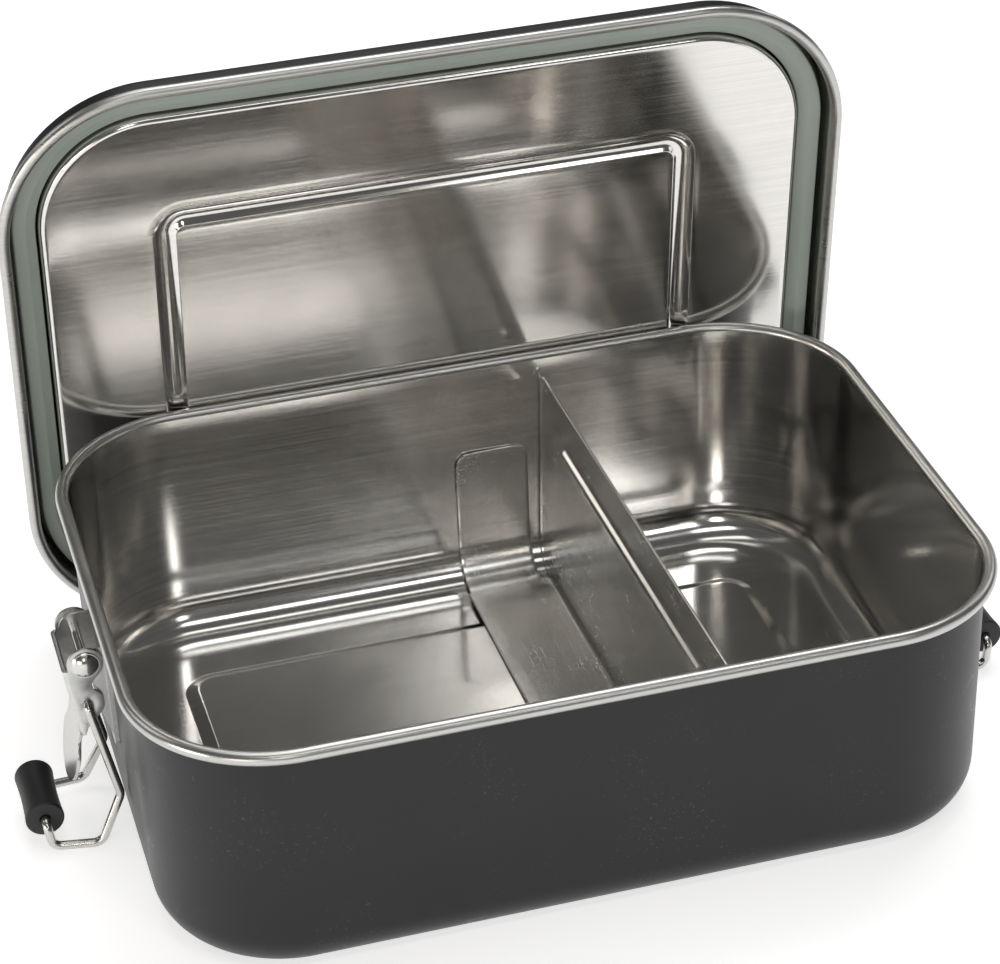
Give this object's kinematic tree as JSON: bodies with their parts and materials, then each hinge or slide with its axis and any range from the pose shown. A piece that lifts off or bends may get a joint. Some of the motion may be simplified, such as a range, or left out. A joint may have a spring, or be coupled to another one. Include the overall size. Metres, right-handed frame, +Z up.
{
  "type": "metal lunch box",
  "caption": "Open pressed-steel lunch box with curled rim, slide-in divider, leaning lid with seal ring, and a lever latch with wire bail and roller on each end.",
  "frame": {"origin": "centre of the box's footprint, in the plane it stands on", "axes": "+X along the long side towards the right latch, +Y towards the back edge where the lid leans, +Z up"},
  "size_m": [0.241, 0.1607, 0.1547],
  "materials": {
    "box": "dark grey powder paint outside, bare brushed steel inside",
    "divider": "polished sheet",
    "lid": "dark grey powder paint outside, bare polished steel inside",
    "seal": "grey silicone",
    "latch_steel": "tumbled sheet steel",
    "rivet": "bright",
    "wire": "drawn wire",
    "roller": "black silicone"
  },
  "bodies": {
    "box": {"box_body": "box", "left_bracket": "latch_steel", "left_pivot_pin": "rivet", "right_bracket": "latch_steel", "right_pivot_pin": "rivet"},
    "lid": {"lid_shell": "lid", "lid_seal": "seal"},
    "divider": {"divider": "divider"},
    "left_lever": {"left_lever": "latch_steel"},
    "left_bail": {"left_bail": "wire"},
    "left_roller": {"left_roller": "roller"},
    "right_lever": {"right_lever": "latch_steel"},
    "right_bail": {"right_bail": "wire"},
    "right_roller": {"right_roller": "roller"}
  },
  "joints": [
    {"name": "lid_lift", "type": "slide", "parent": "box", "child": "lid", "axis": [0, 0, 1], "range_m": [0, 0.09]},
    {"name": "divider_slide", "type": "slide", "parent": "box", "child": "divider", "axis": [1, 0, 0], "range_m": [-0.068, 0.038]},
    {"name": "left_lever_pivot", "type": "hinge", "parent": "box", "child": "left_lever", "pos_m": [-0.1027, 0, 0.0493], "axis": [0, 1, 0], "range_deg": [0, 140]},
    {"name": "left_bail_pivot", "type": "hinge", "parent": "left_lever", "child": "left_bail", "pos_m": [-0.1033, 0, 0.0385], "axis": [0, 1, 0], "range_deg": [0, 90]},
    {"name": "left_roller_spin", "type": "hinge", "parent": "left_bail", "child": "left_roller", "pos_m": [-0.116, 0, 0.009], "axis": [0, 1, 0], "continuous": true},
    {"name": "right_lever_pivot", "type": "hinge", "parent": "box", "child": "right_lever", "pos_m": [0.1027, 0, 0.0493], "axis": [0, -1, 0], "range_deg": [0, 140]},
    {"name": "right_bail_pivot", "type": "hinge", "parent": "right_lever", "child": "right_bail", "pos_m": [0.1033, 0, 0.0385], "axis": [0, -1, 0], "range_deg": [0, 90]},
    {"name": "right_roller_spin", "type": "hinge", "parent": "right_bail", "child": "right_roller", "pos_m": [0.116, 0, 0.009], "axis": [0, -1, 0], "continuous": true}
  ]
}
